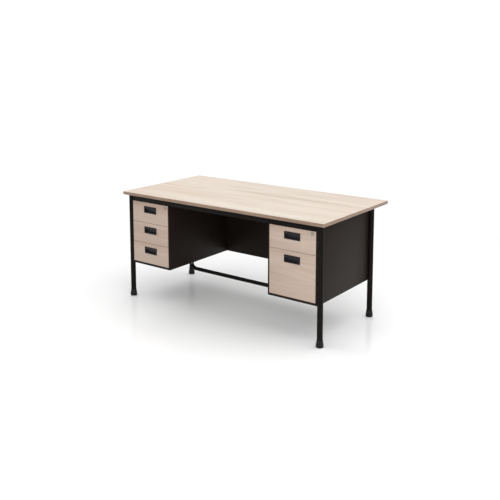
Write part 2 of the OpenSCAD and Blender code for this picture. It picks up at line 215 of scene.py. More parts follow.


# %% [markdown]
# ## Wood-grain laminate
# The boards wear a printed melamine paper under a thin clear resin.  The print is pale
# birch: wide soft bands along the board, a finer set of streaks, and short pores.  All
# three are noise, stretched along X by thirteen times for the bands and by almost fifty
# for the pores, because real fibres run for tens of centimetres and change within
# millimetres across.  The resin gives a satin shine that is almost even, and the pores
# are pressed into it, so they feed a bump.
# The drawer fronts wear the same print in darker colours; that darkness is painted shade.


# %% Laminate
def laminate(name, light, middle, dark, tint):
    finish = Finish(name, Specular_IOR_Level=0.22)
    wander = finish.noise(finish.stretched(0.8, 2.5, 2.5), 1.0, 2.0)
    bands = finish.noise(finish.stretched(0.55, 7.0, 7.0), 1.6, 3.0, 0.55, 0.6)
    streaks = finish.noise(finish.stretched(1.4, 46.0, 46.0), 1.8, 4.0, 0.6, 0.25)
    pores = finish.noise(finish.stretched(9.0, 420.0, 420.0), 1.0, 1.0)
    figure = bands * 0.62 + streaks * 0.38
    colour = finish.ramp(figure, (0.34, dark), (0.47, middle), (0.60, light), (0.72, middle))
    colour = finish.blend(wander.span(0.35, 0.7) * 0.5, colour, tint)
    pore_mask = pores.span(0.62, 0.72)
    colour = finish.blend(pore_mask * 0.22, colour, dark, "MULTIPLY")
    shine = 0.36 + streaks * 0.08 + pore_mask * 0.12
    normal = finish.bump(streaks * 0.4 - pore_mask, 0.12, 0.0002)
    return finish.feed(Base_Color=colour, Roughness=shine, Normal=normal)


TOP_LAMINATE = laminate("top_laminate", (0.705, 0.64, 0.553), (0.64, 0.555, 0.466),
                        (0.525, 0.43, 0.343), (0.68, 0.545, 0.458))
# The fronts' print is the top's in darker colours: painted shade on the upright fronts.
SHADED_FRONT_LAMINATE = laminate("front_laminate", (0.515, 0.418, 0.345), (0.473, 0.367, 0.294),
                          (0.402, 0.301, 0.233), (0.482, 0.362, 0.298))
print("laminates:", TOP_LAMINATE.name, SHADED_FRONT_LAMINATE.name)

# %% [markdown]
# ## Edge band and backing sheet
# The edge of the top is a plastic strip that is printed to go with the laminate, with fine
# lines along the strip.  Its colours are clearly darker than the laminate's; that darkness
# is painted shade.  Lines that change mostly with height follow all four sides at once.
# Under the board is a plain backing paper, which keeps the board from bowing; it is warm
# grey-brown with faint rolling marks.


# %% Edge band and backing
def edge_band_finish():
    finish = Finish("edge_band", Specular_IOR_Level=0.4)
    lines = finish.noise(finish.stretched(3.0, 3.0, 170.0), 1.0, 3.0, 0.6)
    patches = finish.noise(finish.stretched(5.0, 5.0, 30.0), 1.0, 2.0)
    mixed = lines * 0.7 + patches * 0.3
    # These tones are darker than the laminate's: painted shade.
    colour = finish.ramp(mixed, (0.36, (0.198, 0.132, 0.092)), (0.52, (0.275, 0.186, 0.132)),
                         (0.66, (0.345, 0.24, 0.176)))
    return finish.feed(Base_Color=colour, Roughness=lines * 0.14 + 0.33,
                       Normal=finish.bump(lines, 0.15, 0.0002))


def backing_finish():
    finish = Finish("backing_sheet", Specular_IOR_Level=0.35)
    mottle = finish.noise(finish.place, 26.0, 4.0, 0.6)
    rolled = finish.noise(finish.stretched(1.5, 60.0, 1.0), 1.0, 3.0)
    colour = finish.ramp(mottle * 0.6 + rolled * 0.4, (0.35, (0.27, 0.22, 0.175)),
                         (0.65, (0.35, 0.29, 0.235)))
    return finish.feed(Base_Color=colour, Roughness=mottle * 0.2 + 0.5,
                       Normal=finish.bump(mottle, 0.1, 0.0003))


SHADED_EDGE_BAND = edge_band_finish()
BACKING = backing_finish()

# %% [markdown]
# ## Powder coat
# The steel is sprayed with charged powder and baked, which leaves a skin with a faint
# orange peel: low mounds about two millimetres apart, and a finer grit on top.  The
# frame is near black; the pedestals and the rear panel are a warmer, lighter charcoal.
# One function makes both, and the drawer trays' coat too, from a colour, a roughness
# and a gloss.  The foot bar's coat is also rubbed pale where soles rest on it.


# %% Powder coats
def powder_coat(name, colour, shine, gloss, rub=None):
    finish = Finish(name, Specular_IOR_Level=gloss)
    peel = finish.noise(finish.place, 480.0, 1.0)
    grit = finish.noise(finish.place, 2200.0, 1.0)
    cloud = finish.noise(finish.place, 3.0, 3.0)
    lighter = tuple(c * 1.3 + 0.002 for c in colour)
    tone = finish.blend(cloud.span(0.35, 0.7) * 0.6 + grit * 0.25, colour, lighter)
    roughness = cloud * 0.08 + grit * 0.06 + (shine - 0.07)
    if rub is not None:
        tone, roughness = rub(finish, tone, roughness)
    normal = finish.bump(peel + grit * 0.35, 0.10, 0.0003)
    return finish.feed(Base_Color=tone, Roughness=roughness, Normal=normal)


def shoe_rub(finish, tone, roughness):
    """Soles polish the upper half of the foot bar between the pedestals."""
    middle = 1 - finish.axis("X").math("ABSOLUTE").span(0.18, 0.36)
    upper = finish.axis("Z").span(0.198, 0.210)
    scuffs = finish.noise(finish.stretched(14.0, 90.0, 90.0), 1.0, 4.0, 0.7).span(0.52, 0.66)
    worn = middle * upper * scuffs
    return finish.blend(worn * 0.35, tone, (0.11, 0.105, 0.10)), roughness - worn * 0.08


FRAME_COAT = powder_coat("frame_coat", (0.0048, 0.0036, 0.0030), 0.40, 0.08)
BAR_COAT = powder_coat("bar_coat", (0.0048, 0.0036, 0.0030), 0.40, 0.08, shoe_rub)
PANEL_COAT = powder_coat("panel_coat", (0.0135, 0.0090, 0.0068), 0.48, 0.10)
TRAY_COAT = powder_coat("tray_coat", (0.024, 0.0225, 0.022), 0.5, 0.15)

# %% [markdown]
# ## Moulded plastic
# The feet and the recessed pulls are injection moulded in black plastic with a spark
# texture: a fine even grain that the mould was etched with.  Cells of a Voronoi texture
# are closer to it than noise.  Hands on the pulls and shoes on the feet leave soft
# patches of shine.


# %% Plastics
def moulding(name, colour, shine):
    finish = Finish(name, Specular_IOR_Level=0.2)
    spark = finish.node("ShaderNodeTexVoronoi", {"feature": "SMOOTH_F1"},
                        {"Vector": finish.place, "Scale": 1500.0})
    handled = finish.noise(finish.place, 22.0, 3.0)
    lighter = tuple(c * 1.5 + 0.003 for c in colour)
    tone = finish.blend(handled.span(0.4, 0.7) * 0.5 + spark * 0.3, colour, lighter)
    roughness = handled * -0.12 + (shine + 0.06)
    return finish.feed(Base_Color=tone, Roughness=roughness, Normal=finish.bump(spark, 0.16, 0.0002))


FOOT_MOULDING = moulding("foot_moulding", (0.009, 0.0085, 0.0085), 0.42)
PULL_MOULDING = moulding("pull_moulding", (0.009, 0.009, 0.0115), 0.34)

# %% [markdown]
# ## Zinc and nickel
# Runners, screws and bolts are zinc plated: bright metal with a cold cast that drifts
# from patch to patch, and faint drawing lines along the runners.  The locks are dull
# nickel, which is darker and warmer, with a fine even grain in place of the lines.


# %% Plated metals
def plated(name, cool, warm, shine, lines_along_y):
    finish = Finish(name, Metallic=1.0)
    along = (14.0, 0.15, 14.0) if lines_along_y else (14.0, 14.0, 14.0)
    patches = finish.noise(finish.place, 18.0, 3.0)
    lines = finish.noise(finish.stretched(*[a * 60 for a in along]), 1.0, 2.0)
    tone = finish.blend(patches.span(0.35, 0.68), cool, warm)
    return finish.feed(Base_Color=tone, Roughness=lines * 0.14 + patches * 0.1 + (shine - 0.12),
                       Normal=finish.bump(lines, 0.08, 0.0001))


ZINC = plated("zinc_steel", (0.58, 0.60, 0.63), (0.66, 0.65, 0.60), 0.34, True)
NICKEL = plated("nickel", (0.31, 0.29, 0.265), (0.36, 0.335, 0.30), 0.32, False)
print("finishes:", len(bpy.data.materials))

# %% [markdown]
# ## Pieces from CAD nodes
# Much of the steel is already the right shape, but CAD edges are perfectly sharp, and
# folded sheet never is: a bend has a radius and a cut edge is dressed.  A copy of the
# node's mesh is merged, because it comes as loose triangles; flat triangles are joined
# into flat faces, and a Bevel modifier rounds every edge sharper than 30 degrees.
# Rounded edges catch thin highlights, which is most of what makes steel look real.


# %% Making and fitting pieces
def add(name, mesh):
    piece = bpy.data.objects.new(name, mesh)
    bpy.context.scene.collection.objects.link(piece)
    return piece


def fit(piece, body, slot, *stands_for):
    """Puts a finished piece on its body and hides the CAD nodes that it stands for."""
    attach(piece, body)
    if stands_for:
        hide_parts(*stands_for)
    return piece


def baked(piece):
    """Turns a piece with modifiers into a plain mesh."""
    graph = bpy.context.evaluated_depsgraph_get()
    mesh = bpy.data.meshes.new_from_object(piece.evaluated_get(graph))
    piece.modifiers.clear()
    piece.data = mesh
    return piece


def smooth(piece, angle=35.0):
    piece.data.shade_smooth()
    piece.data.set_sharp_from_angle(angle=math.radians(angle))
    return piece


def from_bmesh(name, work, *materials):
    mesh = bpy.data.meshes.new(name)
    work.to_mesh(mesh)
    work.free()
    for material in materials:
        mesh.materials.append(material)
    return add(name, mesh)


def merged(node):
    """A copy of a CAD node's mesh with its triangles joined into flat faces."""
    work = bmesh.new()
    work.from_mesh(frame["nodes"][node].data)
    bmesh.ops.remove_doubles(work, verts=work.verts, dist=1e-6)
    bmesh.ops.dissolve_limit(work, angle_limit=math.radians(1), verts=work.verts, edges=work.edges)
    for face in work.faces:
        face.material_index = 0
    return work


SHARP_EDGE = 30


def softened(node, material, slot, radius, segments=2):
    """The CAD node again, with its sharp edges rounded."""
    piece = from_bmesh(node + "_softened", merged(node), material)
    bevel = piece.modifiers.new("round", "BEVEL")
    bevel.width = radius
    bevel.segments = segments
    bevel.angle_limit = math.radians(SHARP_EDGE)
    return fit(smooth(baked(piece)), BODY_OF[node], slot, node)


# %% [markdown]
# ## Geometry Nodes recipes
# Screws, bolts, welds, ball races, the edge band and the bent bar all repeat or follow a
# path, so each is grown from a small start mesh by a tree of Geometry Nodes.  Such a
# recipe has named inputs for its sizes.  After it has run, its result is kept as a plain mesh and the
# modifier is taken away, because the export knows only meshes.


# %% A recipe and how it is run
SOCKETS = {"size": "NodeSocketFloat", "number": "NodeSocketInt", "object": "NodeSocketObject",
           "finish": "NodeSocketMaterial"}


class Recipe(Tree):
    """A Geometry Nodes tree with named inputs."""

    def __init__(self, name, **inputs):
        super().__init__(bpy.data.node_groups.new(name, "GeometryNodeTree"))
        face = self.nodes.interface
        face.new_socket("Start", in_out="INPUT", socket_type="NodeSocketGeometry")
        for key, kind in inputs.items():
            face.new_socket(key, in_out="INPUT", socket_type=SOCKETS[kind])
        face.new_socket("Finish", in_out="INPUT", socket_type=SOCKETS["finish"])
        face.new_socket("Result", in_out="OUTPUT", socket_type="NodeSocketGeometry")
        self.enter = self.nodes.nodes.new("NodeGroupInput")
        self.leave = self.nodes.nodes.new("NodeGroupOutput")

    def given(self, name):
        return Value(self, self.enter.outputs[name])

    def ends_in(self, shape):
        real = self.node("GeometryNodeRealizeInstances", {}, [shape])
        done = self.node("GeometryNodeSetMaterial", {}, {"Geometry": real, "Material": self.given("Finish")})
        self.nodes.links.new(done.socket, self.leave.inputs[0])
        return self

    def grow(self, name, start, finish, **sizes):
        piece = add(name, start)
        modifier = piece.modifiers.new("recipe", "NODES")
        modifier.node_group = self.nodes
        sizes["Finish"] = finish
        for item in self.nodes.interface.items_tree:
            if item.in_out == "INPUT" and item.name in sizes:
                modifier[item.identifier] = sizes[item.name]
        return baked(piece)


def points(name, places, directions=None):
    """A start mesh of loose points, each with the direction that a fixing's head faces."""
    mesh = bpy.data.meshes.new(name)
    mesh.from_pydata([tuple(p) for p in places], [], [])
    if directions:
        faces = mesh.attributes.new("facing", "FLOAT_VECTOR", "POINT")
        for item, direction in zip(faces.data, directions):
            item.vector = direction
    return mesh


def path(name, corners, closed=False):
    """A start mesh that is one line through the corners."""
    mesh = bpy.data.meshes.new(name)
    last = len(corners) - (0 if closed else 1)
    mesh.from_pydata([tuple(c) for c in corners], [(i, (i + 1) % len(corners)) for i in range(last)], [])
    return mesh


# %% Recipe: a fixing at every point
def fixing_recipe():
    recipe = Recipe("fixings", Head="object")
    head = recipe.node("GeometryNodeObjectInfo", {}, {"Object": recipe.given("Head")}, output="Geometry")
    facing = recipe.node("GeometryNodeInputNamedAttribute", {"data_type": "FLOAT_VECTOR"}, {"Name": "facing"})
    turn = recipe.node("FunctionNodeAlignRotationToVector", {"axis": "Z"}, {"Vector": facing})
    placed = recipe.node("GeometryNodeInstanceOnPoints", {},
                         {"Points": recipe.given("Start"), "Instance": head, "Rotation": turn})
    return recipe.ends_in(placed)


# %% Recipe: a bent tube along a path
def tube_recipe():
    recipe = Recipe("bent_tube", Radius="size", Bend="size", Sides="number")
    line = recipe.node("GeometryNodeMeshToCurve", {}, [recipe.given("Start")])
    bent = recipe.node("GeometryNodeFilletCurve", {"mode": "POLY"},
                       {"Curve": line, "Count": 14, "Radius": recipe.given("Bend"), "Limit Radius": True})
    ring = recipe.node("GeometryNodeCurvePrimitiveCircle", {},
                       {"Resolution": recipe.given("Sides"), "Radius": recipe.given("Radius")})
    tube = recipe.node("GeometryNodeCurveToMesh", {},
                       {"Curve": bent, "Profile Curve": ring, "Fill Caps": True})
    return recipe.ends_in(tube)


# %% Recipe: a weld bead along a path
def weld_recipe():
    """The bead swells and shrinks along its length, as each puddle of metal set in turn."""
    recipe = Recipe("weld_bead", Radius="size", Pitch="size")
    line = recipe.node("GeometryNodeMeshToCurve", {}, [recipe.given("Start")])
    step = recipe.given("Pitch") / 4
    even = recipe.node("GeometryNodeResampleCurve", {"mode": "LENGTH"}, {"Curve": line, "Length": step})
    index = recipe.node("GeometryNodeInputIndex")
    swell = (index * (math.pi / 2)).math("SINE") * 0.16 + 1
    puddled = recipe.node("GeometryNodeSetCurveRadius", {}, {"Curve": even, "Radius": swell})
    ring = recipe.node("GeometryNodeCurvePrimitiveCircle", {},
                       {"Resolution": 8, "Radius": recipe.given("Radius")})
    bead = recipe.node("GeometryNodeCurveToMesh", {},
                       {"Curve": puddled, "Profile Curve": ring, "Fill Caps": True})
    return recipe.ends_in(bead)


# %% Recipe: rows of balls
def ball_recipe():
    recipe = Recipe("ball_rows", Count="number", Pitch="size", Radius="size")
    step = recipe.node("ShaderNodeCombineXYZ", {}, {"Y": recipe.given("Pitch")})
    row = recipe.node("GeometryNodeMeshLine", {}, {"Count": recipe.given("Count"), "Offset": step})
    ball = recipe.node("GeometryNodeMeshIcoSphere", {}, {"Radius": recipe.given("Radius"), "Subdivisions": 2})
    balls = recipe.node("GeometryNodeInstanceOnPoints", {}, {"Points": row, "Instance": ball})
    rows = recipe.node("GeometryNodeInstanceOnPoints", {},
                       {"Points": recipe.given("Start"), "Instance": balls})
    return recipe.ends_in(rows)


FIXINGS = fixing_recipe()
BENT_TUBE = tube_recipe()
WELD = weld_recipe()
BALL_ROWS = ball_recipe()
print("recipes:", [g.name for g in bpy.data.node_groups])

# %% [markdown]
# ## Turned and lofted shapes
# Two helpers make the shapes that CAD facets or leaves sharp.  A lathe turns a closed
# profile round an axis, with one vertex where the profile meets the axis, so the pole is
# closed.  A loft joins a list of loops that have the same number of points, and closes
# the first and the last with a face.


# %% Lathe and loft
ON_AXIS = 1e-7


def lathe(name, profile, centre, material, sides=64):
    """Turns (radius, height) points round an upright axis through the centre."""
    work = bmesh.new()
    rings = []
    for radius, height in profile:
        around = [0.0] if radius < ON_AXIS else [2 * math.pi * k / sides for k in range(sides)]
        ring = []
        for a in around:
            point = Vector((radius * math.cos(a), radius * math.sin(a), height))
            ring.append(work.verts.new(Vector(centre) + point))
        rings.append(ring)
    closed = profile[0][0] > ON_AXIS and profile[-1][0] > ON_AXIS
    pairs = list(zip(rings, rings[1:])) + ([(rings[-1], rings[0])] if closed else [])
    for low, high in pairs:
        join_rings(work, low, high)
    bmesh.ops.recalc_face_normals(work, faces=work.faces)
    return smooth(from_bmesh(name, work, material))


def join_rings(work, low, high):
    count = max(len(low), len(high))
    for k in range(count if count > 1 else 0):
        n = (k + 1) % count
        if len(low) == 1:
            work.faces.new([low[0], high[n], high[k]])
        elif len(high) == 1:
            work.faces.new([low[k], low[n], high[0]])
        else:
            work.faces.new([low[k], low[n], high[n], high[k]])


CORNER_STEPS = 6


def rounded_loop(y, half_width, half_height, radius, lift=0.0):
    """Points of an upright rounded rectangle in the plane y, in metres."""
    loop = []
    for quarter, (sx, sz) in enumerate([(1, 1), (-1, 1), (-1, -1), (1, -1)]):
        for k in range(CORNER_STEPS + 1):
            a = math.pi / 2 * (quarter + k / CORNER_STEPS)
            loop.append(Vector((sx * (half_width - radius) + radius * math.cos(a), y,
                                sz * (half_height - radius) + radius * math.sin(a) + lift)))
    return loop


def loft(name, loops, centre, material):
    work = bmesh.new()
    rings = [[work.verts.new(point + Vector(centre)) for point in loop] for loop in loops]
    for low, high in zip(rings, rings[1:]):
        join_rings(work, low, high)
    work.faces.new(rings[0])
    work.faces.new(rings[-1])
    bmesh.ops.recalc_face_normals(work, faces=work.faces)
    return smooth(from_bmesh(name, work, material), 40)


# %% [markdown]
# ## The top
# The board is chipboard with laminate above and backing paper below, so its faces get
# their material by the way that they face.  The edge band is one strip round the whole
# board: a small upright rectangle with rounded corners, swept round the board's outline.
# Its corners are rounded after gluing with a cutter, so the outer edges are soft.


# %% Board
def paint(piece, material, chosen):
    """Gives the faces that pass a test another material."""
    piece.data.materials.append(material)
    index = len(piece.data.materials) - 1
    painted = 0
    for face in piece.data.polygons:
        if chosen(face):
            face.material_index = index
            painted += 1
    return painted


board = softened("desk_top", TOP_LAMINATE, "top_laminate", radius=0.12 * MM, segments=1)
print("backing faces:", paint(board, BACKING, lambda face: face.normal.z < -0.5))


# %% Edge band
def band_recipe():
    recipe = Recipe("edge_band", Thickness="size", Height="size", Round="size", Corner="size")
    line = recipe.node("GeometryNodeMeshToCurve", {}, [recipe.given("Start")])
    outline = recipe.node("GeometryNodeFilletCurve", {"mode": "POLY"},
                          {"Curve": line, "Count": 8, "Radius": recipe.given("Corner")})
    strip = recipe.node("GeometryNodeCurvePrimitiveQuadrilateral", {},
                        {"Width": recipe.given("Thickness"), "Height": recipe.given("Height")})
    strip = recipe.node("GeometryNodeFilletCurve", {"mode": "POLY"},
                        {"Curve": strip, "Count": 3, "Radius": recipe.given("Round")})
    band = recipe.node("GeometryNodeCurveToMesh", {}, {"Curve": outline, "Profile Curve": strip})
    return recipe.ends_in(band)


BAND_THICKNESS = 2 * MM
CORNER_RADIUS = 5 * MM


def add_edge_band():
    low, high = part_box("edge_band")
    half = BAND_THICKNESS / 2
    middle = (low.z + high.z) / 2
    corners = [(low.x + half, low.y + half, middle), (high.x - half, low.y + half, middle),
               (high.x - half, high.y - half, middle), (low.x + half, high.y - half, middle)]
    band = band_recipe().grow("edge_band_strip", path("band_path", corners, True), SHADED_EDGE_BAND,
                              Thickness=BAND_THICKNESS, Height=high.z - low.z, Round=0.95 * MM,
                              Corner=CORNER_RADIUS - half)
    return fit(smooth(band, 50), "desk", "edge_band", "edge_band")


band = add_edge_band()
print("edge band:", [round(d, 4) for d in band.dimensions])

# %% [markdown]
# ## Legs and feet
# A leg is a round tube, open at the ends, with a wall that shows if the top comes off.
# The foot is a socket that the tube is pushed into.  It flares to a wide rounded rim,
# with a fine groove where the rim begins, and stands flat on the floor.  Both are
# turned shapes, so each is one profile spun round the leg's middle line.

# %% Legs
LEG_WALL = 1.5 * MM


def add_leg(corner):
    low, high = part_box("leg_" + corner)
    radius = (high.x - low.x) / 2
    centre = ((low.x + high.x) / 2, (low.y + high.y) / 2, 0)
    edge = 0.4 * MM
    profile = [(radius - LEG_WALL, low.z), (radius - edge, low.z), (radius, low.z + edge),
               (radius, high.z - edge), (radius - edge, high.z), (radius - LEG_WALL, high.z)]
    leg = lathe("leg_tube_" + corner, profile, centre, FRAME_COAT)
    return fit(leg, "desk", "frame_coat", "leg_" + corner)


CORNERS = ["front_left", "front_right", "rear_left", "rear_right"]
legs = [add_leg(corner) for corner in CORNERS]


# %% Feet
FOOT_FLOOR = 6 * MM
SOCKET_WALL = 1.6 * MM
SOCKET_PLAY = 0.1 * MM
PAD_INSET = 7 * MM
RIM_ROUND = 5 * MM
RIM_STEPS = 8
RIM_TOP = 7.6 * MM
GROOVE_DEPTH = 0.5 * MM
GROOVE_LOW = 8.1 * MM
GROOVE_HIGH = 8.9 * MM
FLARE_START = 9.4 * MM
FLARE_STEPS = 14
FLARE_INSET = 0.05 * MM


def foot_outline(top_radius, rim_radius, height, socket):
    """Half of the foot's section: pad, rounded rim, groove, flare and rolled top edge."""
    outline = [(0, 0), (rim_radius - PAD_INSET, 0)]
    for k in range(RIM_STEPS + 1):
        a = math.pi / 2 * k / RIM_STEPS
        outline.append((rim_radius - RIM_ROUND + RIM_ROUND * math.sin(a),
                        RIM_ROUND - RIM_ROUND * math.cos(a)))
    groove, flare = rim_radius - GROOVE_DEPTH, rim_radius - FLARE_INSET
    outline += [(rim_radius, RIM_TOP), (groove, GROOVE_LOW), (groove, GROOVE_HIGH), (flare, FLARE_START)]
    for k in range(1, FLARE_STEPS + 1):
        t = k / FLARE_STEPS
        bow = 0.5 + 0.5 * math.cos(math.pi * t)
        outline.append((top_radius + (flare - top_radius) * bow,
                        FLARE_START + t * (height - 2 * MM - FLARE_START)))
    outline += [(top_radius, height - 1 * MM), (top_radius - 0.3 * MM, height - 0.3 * MM),
                (top_radius - 0.8 * MM, height), (socket, height), (socket, FOOT_FLOOR), (0, FOOT_FLOOR)]
    return outline


def add_foot(corner):
    low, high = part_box("foot_" + corner)
    tube_low, tube_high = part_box("leg_" + corner)
    tube = (tube_high.x - tube_low.x) / 2
    outline = foot_outline(tube + SOCKET_WALL, (high.x - low.x) / 2, high.z, tube + SOCKET_PLAY)
    centre = ((low.x + high.x) / 2, (low.y + high.y) / 2, 0)
    foot = lathe("foot_flared_" + corner, outline, centre, FOOT_MOULDING)
    return fit(foot, "desk", "foot_moulding", "foot_" + corner)


feet = [add_foot(corner) for corner in CORNERS]
print("legs and feet:", len(legs) + len(feet))

# %% [markdown]
# ## Rails, pedestals and rear panel
# Rails are rectangular tube with small outer radii.  The sheet parts have the still
# smaller radius of a dressed cut edge.  All of them are CAD nodes with softened edges,
# since their shape is right.

# %% Rails and sheet steel
RAILS = ["front_rail", "rear_rail", "left_side_rail", "right_side_rail"]
for node in RAILS:
    softened(node, FRAME_COAT, "frame_coat", radius=0.7 * MM, segments=3)
softened("top_brackets", FRAME_COAT, "frame_coat", radius=0.5 * MM)
softened("foot_bar_plates", FRAME_COAT, "frame_coat", radius=0.6 * MM)
for side in ("left", "right"):
    softened(side + "_casing", PANEL_COAT, "panel_coat", radius=0.35 * MM)
    softened(side + "_front_frame", PANEL_COAT, "panel_coat", radius=0.35 * MM)
softened("modesty_panel", PANEL_COAT, "panel_coat", radius=0.35 * MM)

# %% [markdown]
# ## Welds
# The front and rear rails are notched to fit round the legs and welded there.  A weld is
# a row of overlapping puddles, so the bead is a thin tube whose radius swells every few
# millimetres.  Its path follows the joint: down the front of the rail, across under it
# on the curve of the leg, and up the back.  Short tacks hold the end panels' edges.


# %% Weld beads
WELD_RADIUS = 1.5 * MM
WELD_PITCH = 3.4 * MM
WELD_STEPS = 10
WELD_TOP_GAP = 1.5 * MM
TACK_RADIUS = 1.2 * MM
TACK_PITCH = 3.0 * MM
TACK_LENGTH = 22 * MM
TACK_PLACES = (0.12, 0.5, 0.86)


def leg_face(corner, y, side):
    """X of a leg's surface, on the desk's inner side, at the given Y."""
    low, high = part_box("leg_" + corner)
    radius = (high.x - low.x) / 2
    across = y - (low.y + high.y) / 2
    return (low.x + high.x) / 2 - side * math.sqrt(radius ** 2 - across ** 2)


def rail_weld(corner, rail):
    side = 1 if corner.endswith("right") else -1
    low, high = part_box(rail)
    top = high.z - WELD_TOP_GAP
    depths = [low.y + (high.y - low.y) * k / WELD_STEPS for k in range(WELD_STEPS + 1)]
    under = [(leg_face(corner, y, side), y, low.z) for y in depths]
    line = [(under[0][0], under[0][1], top)] + under + [(under[-1][0], under[-1][1], top)]
    weld = WELD.grow("weld_" + corner, path("weld_path", line), FRAME_COAT,
                     Radius=WELD_RADIUS, Pitch=WELD_PITCH)
    return fit(smooth(weld, 60), "desk", "frame_coat")


def panel_tacks(side_name, side):
    """Three tacks up each leg where the end panel's edges meet it."""
    low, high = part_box(side_name + "_casing")
    outer = side * max(abs(low.x), abs(high.x))
    tacks = []
    for name in ("front_", "rear_"):
        leg_low, leg_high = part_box("leg_" + name + side_name)
        radius, middle = (leg_high.x - leg_low.x) / 2, (leg_low.y + leg_high.y) / 2
        across = (leg_low.x + leg_high.x) / 2 - outer
        reach = math.sqrt(radius ** 2 - across ** 2) * (1 if name == "front_" else -1)
        for part in TACK_PLACES:
            z = low.z + (high.z - low.z) * part
            line = [(outer, middle + reach, z), (outer, middle + reach, z + TACK_LENGTH)]
            tacks.append(WELD.grow("tack_" + name + side_name + str(int(part * 100)), path("tack_path", line),
                                   PANEL_COAT, Radius=TACK_RADIUS, Pitch=TACK_PITCH))
    for tack in tacks:
        fit(smooth(tack, 60), "desk", "panel_coat")
    return tacks


RAIL_AT = {corner: corner.split("_")[0] + "_rail" for corner in CORNERS}
welds = [rail_weld(corner, rail) for corner, rail in RAIL_AT.items()]
tacks = panel_tacks("left", -1) + panel_tacks("right", 1)
print("welds:", len(welds), "tacks:", len(tacks), "faces in one weld:", len(welds[0].data.polygons))

# %% [markdown]
# ## Foot bar
# The bar is one tube, bent up at both ends to the plates under the pedestals.  Its path
# has two sharp corners; the recipe rounds them and sweeps the tube along it.


# %% Foot bar
def add_foot_bar():
    low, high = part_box("foot_bar")
    radius = (high.y - low.y) / 2
    y = (low.y + high.y) / 2
    left, right, bottom = low.x + radius, high.x - radius, low.z + radius
    corners = [(left, y, high.z), (left, y, bottom), (right, y, bottom), (right, y, high.z)]
    bar = BENT_TUBE.grow("foot_bar_tube", path("bar_path", corners), BAR_COAT,
                         Radius=radius, Bend=high.z - bottom, Sides=48)
    return fit(smooth(bar), "desk", "frame_coat", "foot_bar")


bar = add_foot_bar()
print("foot bar:", [round(d, 4) for d in bar.dimensions])

# %% [markdown]
# ## Drawers
# A drawer front is a board like the top, with a thin band on its four edges.  The pull
# is a recessed cup: a flange on the face, a hollow that fingers reach up into, and a
# lip over its upper part to pull on.  It is lofted from the bottom of the hollow out
# over the lip and the flange, and back round the outside of the cup.


# %% Fronts
SMALLEST_EDGE_FACE = 0.001


def add_front(drawer):
    """The board; its edges are the faces that look sideways and aren't part of the rounding."""
    # The board wears the darker laminate, whose darkness is painted shade.
    front = softened(drawer + "_front", SHADED_FRONT_LAMINATE, "front_laminate", radius=0.6 * MM, segments=3)
    # The edges get the band finish, darkened by painted shade.
    paint(front, SHADED_EDGE_BAND, lambda face: abs(face.normal.y) < 0.7 and face.area > SMALLEST_EDGE_FACE)
    return front


fronts = [add_front(drawer) for drawer in DRAWERS]


# %% Pulls
FLANGE = 6 * MM
CUP_WALL = 2 * MM
PULL_LIP = 6 * MM


def add_pull(drawer):
    low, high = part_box(drawer + "_pull")
    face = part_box(drawer + "_front")[0].y
    wide, tall = (high.x - low.x) / 2, (high.z - low.z) / 2
    cup_wide, cup_tall = wide - FLANGE, tall - FLANGE
    deep, proud = high.y - face, face - low.y
    open_wide, open_tall = cup_wide - CUP_WALL, cup_tall - CUP_WALL
    mouth, drop = open_tall - PULL_LIP / 2, -PULL_LIP / 2
    loops = [
        rounded_loop(deep - CUP_WALL, open_wide - 5 * MM, open_tall - 5 * MM, 2 * MM),
        rounded_loop(deep - CUP_WALL - 0.6 * MM, open_wide - 2 * MM, open_tall - 2 * MM, 2.5 * MM),
        rounded_loop(deep - CUP_WALL - 2.5 * MM, open_wide - 0.5 * MM, open_tall - 0.5 * MM, 2.5 * MM),
        rounded_loop(2.0 * MM, open_wide, open_tall, 2.5 * MM),
        rounded_loop(0.3 * MM, open_wide, open_tall - 0.2 * MM, 2.5 * MM, -0.1 * MM),
        rounded_loop(0.0, open_wide, mouth + 0.4 * MM, 2.5 * MM, drop + 0.4 * MM),
        rounded_loop(-0.4 * MM, open_wide, mouth, 2.5 * MM, drop),
        rounded_loop(-proud + 0.7 * MM, open_wide, mouth, 2.5 * MM, drop),
        rounded_loop(-proud + 0.2 * MM, open_wide + 0.25 * MM, mouth + 0.25 * MM, 2.7 * MM, drop),
        rounded_loop(-proud, open_wide + 0.8 * MM, mouth + 0.8 * MM, 3.0 * MM, drop),
        rounded_loop(-proud, wide - 1.6 * MM, tall - 1.6 * MM, 2.6 * MM),
        rounded_loop(-proud + 0.35 * MM, wide - 0.6 * MM, tall - 0.6 * MM, 3.4 * MM),
        rounded_loop(-proud + 1.0 * MM, wide, tall, 4 * MM),
        rounded_loop(0.0, wide, tall, 4 * MM),
        rounded_loop(0.0, cup_wide, cup_tall, 2.5 * MM),
        rounded_loop(deep - 1.0 * MM, cup_wide, cup_tall, 2.5 * MM),
        rounded_loop(deep, cup_wide - 1.0 * MM, cup_tall - 1.0 * MM, 2.0 * MM),
    ]
    centre = ((low.x + high.x) / 2, face, (low.z + high.z) / 2)
    pull = loft(drawer + "_recessed_pull", loops, centre, PULL_MOULDING)
    return fit(pull, drawer + "_drawer", "pull_moulding", drawer + "_pull")


pulls = [add_pull(drawer) for drawer in DRAWERS]
print("pulls:", len(pulls), "of", [round(d / MM, 1) for d in pulls[0].dimensions], "mm")

# %% Trays, runners and folder bars
for drawer in DRAWERS:
    softened(drawer + "_tray", TRAY_COAT, "tray_coat", radius=0.35 * MM)
    for member in ("outer", "middle", "inner"):
        softened(drawer + "_runner_" + member, ZINC, "zinc_steel", radius=0.3 * MM)
softened("right_file_bars", ZINC, "zinc_steel", radius=0.4 * MM)

# %% [markdown]
# ## Locks
# A cam lock is a nickel barrel with a thin rim on the face of the drawer.  The plug
# inside it turns with the key and carries the cam behind the front rail.

